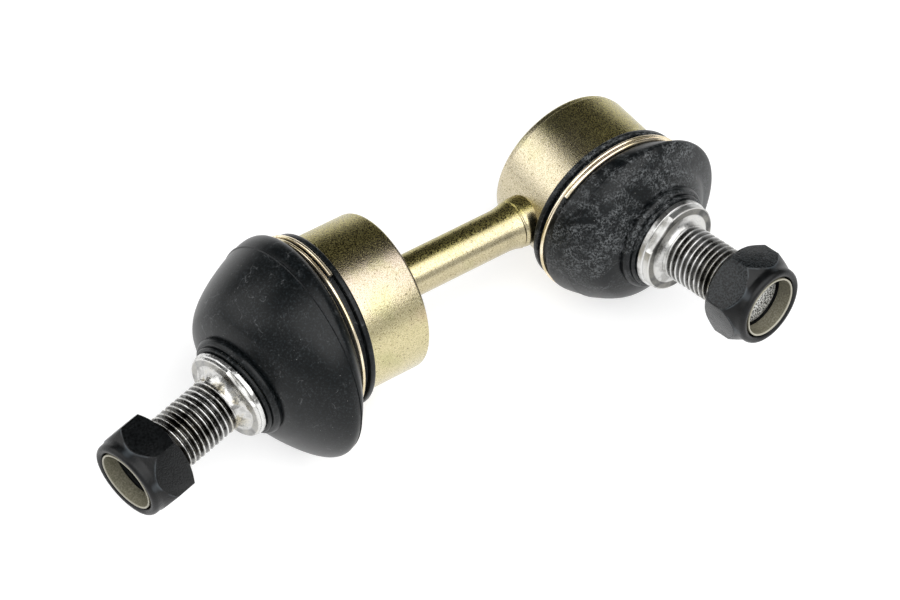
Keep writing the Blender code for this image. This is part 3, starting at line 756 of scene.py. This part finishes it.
def quarter(start, end, steps, level_first, flatness=(1.0, 1.0)):
    """A quarter of an ellipse between two points, level at one, or flatter near either."""
    points = []
    for step in range(1, steps + 1):
        angle = math.pi / 2 * step / steps
        rise = math.sin(angle) ** flatness[0]
        rest = 1 - max(math.cos(angle), 0) ** flatness[1]
        across, along = (rise, rest) if level_first else (rest, rise)
        points.append((start[0] + (end[0] - start[0]) * across,
                       start[1] + (end[1] - start[1]) * along))
    return points


# Dust and scuffs on rubber: a grey film that gathers in drifting patches, small pale specks,
# and short scratches.
dusty, given, result = group("dusty_rubber", {"Vector": (0, 0, 0), "Dust": 0.5, "Scuffs": 0.5})
place = given["Vector"]
film = noise(dusty, place, 130.0, 6.0, 0.7, 1.6)
powder = noise(dusty, place, 2300.0, 4.0, 0.75)
specks = node(dusty, "ShaderNodeTexVoronoi", {
    "Vector": place, "Scale": 620.0, "Randomness": 1.0}).outputs["Distance"]
dust = times(dusty, ramp(dusty, film, 0.4, 0.66), ramp(dusty, powder, 0.45, 0.58),
             given["Dust"])
scuff = times(dusty, ramp(dusty, net(dusty, place, 260.0, 300.0, 0.004), 0.024, 0.01),
              ramp(dusty, film, 0.52, 0.6), ramp(dusty, powder, 0.4, 0.5), given["Scuffs"], 0.55)
bloom = ramp(dusty, powder, 0.5, 0.7, 0.0, 0.6)
colour = mix(dusty, bloom, (0.0016, 0.0025, 0.0029, 1), (0.023, 0.031, 0.036, 1))
colour = mix(dusty, dust, colour, (0.19, 0.2, 0.205, 1))
colour = mix(dusty, scuff, colour, (0.15, 0.155, 0.16, 1))
colour = mix(dusty, ramp(dusty, specks, 0.06, 0.03, 0.0, 0.5), colour, (0.4, 0.4, 0.38, 1))
roughness = math_node(dusty, "MULTIPLY_ADD", dust, 0.4, 0.33)
relief = math_node(dusty, "MULTIPLY_ADD", powder, 0.35, film)
give_out(dusty, result, colour, roughness, relief)

for side in ("axial", "radial"):
    lip = lip_height[side]
    neck_top = flange_height[side] - 0.0003
    fold_height = neck_top - 0.0026
    groove_bottom = lip + lip_width
    groove_top = groove_bottom + coil_groove_width
    bulge = (bulge_radius[side], bulge_height[side])
    fold = (fold_radius, fold_height)
    inner_bulge = (bulge[0] - boot_wall, bulge[1])
    inner_fold = (neck_bore + boot_wall / 2, fold_height - boot_wall)
    outline = rounded([
        (neck_bore, neck_top, 0),
        (boot_neck_radius, neck_top, 0.0003),
        (boot_neck_radius + 0.0001, neck_top - 0.0007, 0.0002),
        (groove_mouth, neck_top - 0.0008, 0),
        (groove_mouth, neck_top - 0.0004, 0),
        (groove_floor, neck_top - 0.0004, 0.0001),
        (groove_floor, neck_top - 0.0014, 0.0001),
        (groove_mouth, neck_top - 0.0014, 0),
        (groove_mouth, neck_top - 0.00084, 0),
        (boot_neck_radius + 0.0007, neck_top - 0.0009, 0.0003),
        (fold_radius + 0.0003, neck_top - 0.0017, 0.0005),
        (fold_radius + 0.0001, neck_top - 0.0024, 0.0002),
        (*fold, 0),
    ])[1:]
    dome = quarter(fold, bulge, 30, True, dome_flatness[side])
    outline += dome[:-1]
    seam = seam_height[side]
    outline += [(bulge[0], bulge[1] + 0.00022), (bulge[0] + seam, bulge[1] + 0.00008),
                (bulge[0] + seam, bulge[1] - 0.00008), (bulge[0] - seam, bulge[1] - 0.0002),
                (bulge[0] - seam * 0.7, bulge[1] - 0.00032)]
    outline += quarter(bulge, (lip_radius, groove_top), 12, False)[1:-1]
    outline += rounded([
        outline[-1],
        (lip_radius + 0.0001, groove_top, 0.0005),
        (coil_groove_radius, groove_top, 0.0002),
        (coil_groove_radius, groove_bottom, 0.0002),
        (lip_radius, groove_bottom, 0.0004),
        (lip_radius, lip, 0.0005),
        (boot_bore, lip, 0.0002),
        (boot_bore, groove_top, 0),
    ])[1:]
    outline += quarter((boot_bore, groove_top), inner_bulge, 8, True)
    outline += quarter(inner_bulge, inner_fold, 14, False, dome_flatness[side])
    outline += [(neck_bore, fold_height - boot_wall / 2), (neck_bore, neck_top)]
    boot = turned(side + "_boot_rubber", outline, Matrix.Identity(4), 192, closed=True)
    bend_start = groove_top
    bend_length = fold_height - boot_wall - bend_start
    for vertex in boot.data.vertices:
        share = min(max((vertex.co.z - bend_start) / bend_length, 0), 1)
        lean = share * share * (3 - 2 * share) * math.radians(dome_tilt[side])
        push = dome_shift[side] * math.sin(math.pi * share)
        rise = dome_rise[side] * math.sin(math.pi * share)
        leant = Matrix.Rotation(lean, 3, "Y") @ vertex.co
        vertex.co = leant + Vector((push, 0, rise))
    boot.data.transform(housing_frame[side])
    rubber, tree, shader = material(side + "_rubber", Specular_IOR_Level=0.23)
    coords = node(tree, "ShaderNodeTexCoord")
    coat(tree, shader, dusty, {
        "Vector": coords.outputs["Object"], "Dust": dust_share[side],
        "Scuffs": scuff_share[side]}, 0.00004, 0.6)
    boot.data.materials.append(rubber)
    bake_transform(boot)
    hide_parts(side + "_boot")

# Boot clamps
# Spring wire, plated yellow and wound a turn and a half into each boot's groove, with its two
# ends cut square and springing outwards a little.
wire_radius = 0.00042
coil_radius = 0.0182
coil_pitch = 0.00115
coil_turns = 1.6
end_spring = 0.0005
spring_fall = 3.2
spring_bend = 1.5
coil_start = {"axial": 110.0, "radial": 256.0}

coil_tool = new_tool("wire_coil")
for label, value in (("Coil Radius", coil_radius), ("Wire Radius", wire_radius),
                     ("Pitch", coil_pitch), ("Turns", coil_turns), ("Spring", end_spring),
                     ("Points", 300)):
    number_in(coil_tool, label, value)
given = node(coil_tool, "NodeGroupInput")
line = node(coil_tool, "GeometryNodeCurvePrimitiveLine", {"End": (0, 0, 1)})
points = node(coil_tool, "GeometryNodeResampleCurve",
              {"Curve": line.outputs[0], "Count": given.outputs["Points"]})
share = node(coil_tool, "GeometryNodeSplineParameter").outputs["Factor"]
turns_done = math_node(coil_tool, "MULTIPLY", share, given.outputs["Turns"])
angle = math_node(coil_tool, "MULTIPLY", turns_done, 2 * math.pi)
near_start = math_node(coil_tool, "MAXIMUM", math_node(
    coil_tool, "MULTIPLY_ADD", turns_done, -spring_fall, 1.0), 0.0)
from_end = math_node(coil_tool, "SUBTRACT", given.outputs["Turns"], turns_done)
near_end = math_node(coil_tool, "MAXIMUM", math_node(
    coil_tool, "MULTIPLY_ADD", from_end, -spring_fall, 1.0), 0.0)
spring = math_node(coil_tool, "ADD", math_node(coil_tool, "POWER", near_start, spring_bend),
                   math_node(coil_tool, "POWER", near_end, spring_bend))
radius = math_node(coil_tool, "MULTIPLY_ADD", spring, given.outputs["Spring"],
                   given.outputs["Coil Radius"])
east = math_node(coil_tool, "MULTIPLY", radius, math_node(coil_tool, "COSINE", angle))
north = math_node(coil_tool, "MULTIPLY", radius, math_node(coil_tool, "SINE", angle))
height = math_node(coil_tool, "MULTIPLY", turns_done, given.outputs["Pitch"])
wound = node(coil_tool, "ShaderNodeCombineXYZ", {0: east, 1: north, 2: height})
path = node(coil_tool, "GeometryNodeSetPosition",
            {"Geometry": points.outputs[0], "Position": wound.outputs[0]})
ring = node(coil_tool, "GeometryNodeCurvePrimitiveCircle",
            {"Resolution": 20, "Radius": given.outputs["Wire Radius"]})
wire = node(coil_tool, "GeometryNodeCurveToMesh", {
    "Curve": path.outputs[0], "Profile Curve": ring.outputs["Curve"], "Fill Caps": True})
smooth = node(coil_tool, "GeometryNodeSetShadeSmooth", {"Geometry": wire.outputs[0]})
plain = node(coil_tool, "GeometryNodeRealizeInstances", {"Geometry": smooth.outputs[0]})
finish = node(coil_tool, "GeometryNodeSetMaterial", {"Geometry": plain.outputs[0]})
node(coil_tool, "NodeGroupOutput", {0: finish.outputs[0]})

wire_zinc = plated("wire_zinc", (1.0, 0.87, 0.66), 0.16, 0.006, 0.0, 0.000001,
                   Matrix.Identity(4), metal=0.9)
finish.inputs["Material"].default_value = wire_zinc
for side in ("axial", "radial"):
    first = lip_height[side] + lip_width + 0.0004 + wire_radius
    seat = housing_frame[side] @ Matrix.Translation((0, 0, first)) @ turn(coil_start[side])
    coil = grown(side + "_clamp_wire", coil_tool, {"Turns": coil_turns}, seat)
    coil.data.set_sharp_from_angle(angle=math.radians(60))
    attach(coil, "link")
    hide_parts(side + "_boot_clamp")

# Neck rings
# A ring of the same yellow wire sits in the groove round each boot's neck and presses the
# rubber on to the stud.
ring_wire_radius = 0.0004
ring_radius = groove_mouth - ring_space / 2
for side in ("axial", "radial"):
    height = flange_height[side] - 0.0012
    outline = []
    for step in range(16):
        angle = 2 * math.pi * step / 16
        outline.append((ring_radius + ring_wire_radius * math.sin(angle),
                        height + ring_wire_radius * math.cos(angle)))
    ring = turned(side + "_neck_wire", outline, lean_frame[side], 128, closed=True)
    ring.data.shade_smooth()
    ring.data.materials.append(wire_zinc)
    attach(ring, side + "_lean")
    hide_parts(side + "_neck_ring")

# Lock nuts
# Cold formed steel hexagons, finished satin black, whose turned collar is rolled over a nylon
# ring. Their edges are eased by the tumbling that goes before the finish.
nut_flats = 0.017
nut_height = 0.0099
hex_height = 0.0076
outer_chamfer = 0.0024
inner_chamfer = {"axial": 0.0009, "radial": 0.0016}
nut_collar_radius = 0.0083
nut_mouth_radius = 0.0067
nut_crown_radius = 0.0075
nut_edge_ease = 0.00016
nut_bore = 0.00625
insert_bore = 0.00602
insert_outside = 0.0064
insert_length = 0.0033
insert_top = nut_height - 0.00015
insert_bottom = insert_top - insert_length
nut_turn = {"axial": 63.0, "radial": 109.5}
# The axial nut's flats are painted darker than the radial nut's, as painted shade on one of two
# like nuts.
nut_face_sheen = {"axial": (0.007, 0.008, 0.0085, 1), "radial": (0.022, 0.026, 0.028, 1)}
# The axial insert is painted lighter than the radial one, as painted light on one of two like
# inserts.
nylon_dark = {"axial": (0.15, 0.14, 0.095, 1), "radial": (0.1, 0.092, 0.062, 1)}
nylon_pale = {"axial": (0.27, 0.255, 0.19, 1), "radial": (0.2, 0.185, 0.135, 1)}

for side in ("axial", "radial"):
    matrix = (axes(joints[side + "_nut_turn"]["pos_m"], joints[side + "_stud_spin"]["axis"],
                   joints[side + "_stud_tilt"]["axis"]) @ turn(nut_turn[side]))

    # A pale line is painted where a face meets a chamfer, as a painted highlight on the edge, and
    # the flats are painted slate while the chamfers and collar stay black, as painted light and
    # shade.
    nut_black, tree, shader = material(side + "_nut_black", Specular_IOR_Level=0.29)
    coords = local_coords(tree, matrix)
    pores = noise(tree, coords, 2900.0, 2.0, 0.6)
    rub = noise(tree, coords, 330.0, 4.0)
    spread = 0.0
    for angle in (0, 60, 120):
        face_way = (math.cos(math.radians(angle)), math.sin(math.radians(angle)), 0)
        away = node(tree, "ShaderNodeVectorMath", {0: coords, 1: face_way}, operation="DOT_PRODUCT")
        spread = math_node(tree, "MAXIMUM", spread,
                           math_node(tree, "ABSOLUTE", away.outputs["Value"]))
    on_face = ramp(tree, spread, nut_flats / 2 - 0.00012, nut_flats / 2 - 0.00004)
    off_face = math_node(tree, "SUBTRACT", 1.0, on_face)
    # Painted highlight: a pale line along the edges where the flats meet the chamfers.
    painted_edge_glint = times(tree, ramp(tree, spread, nut_flats / 2 - 0.0003, nut_flats / 2 - 0.0001),
                   off_face, ramp(tree, rub, 0.35, 0.6))
    # Painted light on the flats; the chamfers and collar stay black as painted shade.
    face_sheen = mix(tree, ramp(tree, pores, 0.4, 0.6), (0.001, 0.0012, 0.0014, 1), nut_face_sheen[side])
    black = mix(tree, ramp(tree, rub, 0.45, 0.7), (0.0012, 0.0014, 0.0016, 1),
                (0.005, 0.006, 0.007, 1))
    black = mix(tree, painted_edge_glint, black, (0.06, 0.07, 0.078, 1))
    tree.links.new(mix(tree, on_face, black, face_sheen), shader.inputs["Base Color"])
    satin = math_node(tree, "MULTIPLY_ADD", off_face, 0.14, ramp(tree, rub, 0.3, 0.7, 0.18, 0.3))
    tree.links.new(satin, shader.inputs["Roughness"])
    bump = node(tree, "ShaderNodeBump", {"Height": pores, "Distance": 0.00006, "Strength": 0.9})
    tree.links.new(bump.outputs["Normal"], shader.inputs["Normal"])

    nylon, tree, shader = material(side + "_nylon")
    coords = local_coords(tree, matrix)
    haze = noise(tree, coords, 3000.0, 3.0)
    level = node(tree, "ShaderNodeSeparateXYZ", {0: coords}).outputs["Z"]
    wall = mix(tree, ramp(tree, haze, 0.35, 0.7), nylon_dark[side], nylon_pale[side])
    # Painted highlight: the insert's top edge is painted pale.
    wall = mix(tree, ramp(tree, level, insert_top - 0.0003, insert_top - 0.0001), wall,
               (0.42, 0.4, 0.32, 1))
    tree.links.new(wall, shader.inputs["Base Color"])
    tree.links.new(ramp(tree, haze, 0.3, 0.7, 0.35, 0.55), shader.inputs["Roughness"])

    flat = nut_flats / 2
    corner = nut_flats / math.sqrt(3)
    blank = corner + 0.0004
    outer_slope = outer_chamfer * (blank - flat) / (corner - flat)
    inner_slope = inner_chamfer[side] * (blank - flat) / (corner - flat)
    outline = [(nut_mouth_radius, nut_height - 0.0006)]
    outline += quarter(outline[-1], (nut_crown_radius, nut_height), 8, False)
    outline += quarter(outline[-1], (nut_collar_radius, nut_height - 0.0011), 8, True)
    outline += rounded([
        outline[-1],
        (nut_collar_radius, hex_height + 0.0005, 0.0005),
        (flat - 0.0001, hex_height, 0.0004),
        (blank, hex_height - outer_slope, 0),
        (blank, inner_slope, 0),
        (flat, 0, 0.0002),
        (nut_bore + 0.0008, 0, 0.0001),
        (nut_bore, 0.0008, 0.0001),
        (nut_bore, insert_bottom - 0.0003, 0),
        (nut_mouth_radius, insert_bottom - 0.0003, 0),
    ])[1:]
    nut = turned(side + "_nut_body", outline, Matrix.Identity(4), 192, closed=True)
    prism = bpy.data.objects.new(side + "_hexagon", bpy.data.meshes.new("hexagon"))
    bpy.context.scene.collection.objects.link(prism)
    bm = bmesh.new()
    bmesh.ops.create_cone(bm, cap_ends=True, segments=6, radius1=corner, radius2=corner,
                          depth=nut_height * 2)
    bm.to_mesh(prism.data)
    bm.free()
    cut = nut.modifiers.new("hexagon", "BOOLEAN")
    cut.operation = "INTERSECT"
    cut.object = prism
    ease = nut.modifiers.new("ease", "BEVEL")
    ease.width = nut_edge_ease
    ease.segments = 2
    ease.limit_method = "ANGLE"
    ease.angle_limit = math.radians(20)
    ease.use_clamp_overlap = True
    bpy.context.view_layer.update()
    graph = bpy.context.evaluated_depsgraph_get()
    mesh = bpy.data.meshes.new_from_object(nut.evaluated_get(graph))
    nut.modifiers.clear()
    nut.data = mesh
    bpy.data.objects.remove(prism)
    mesh.transform(matrix)
    mesh.shade_smooth()
    mesh.set_sharp_from_angle(angle=math.radians(28))
    mesh.materials.clear()
    mesh.materials.append(nut_black)
    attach(nut, side + "_nut")
    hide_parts(side + "_nut")
    ring_outline = rounded([
        (insert_bore, insert_top, 0.0002), (insert_outside, insert_top, 0.0001),
        (insert_outside, insert_bottom, 0.0001), (insert_bore, insert_bottom, 0.0001)], closed=True)
    insert = turned(side + "_insert_ring", ring_outline, matrix, 128, closed=True)
    insert.data.materials.append(nylon)
    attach(insert, side + "_insert")
    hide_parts(side + "_nut_insert")
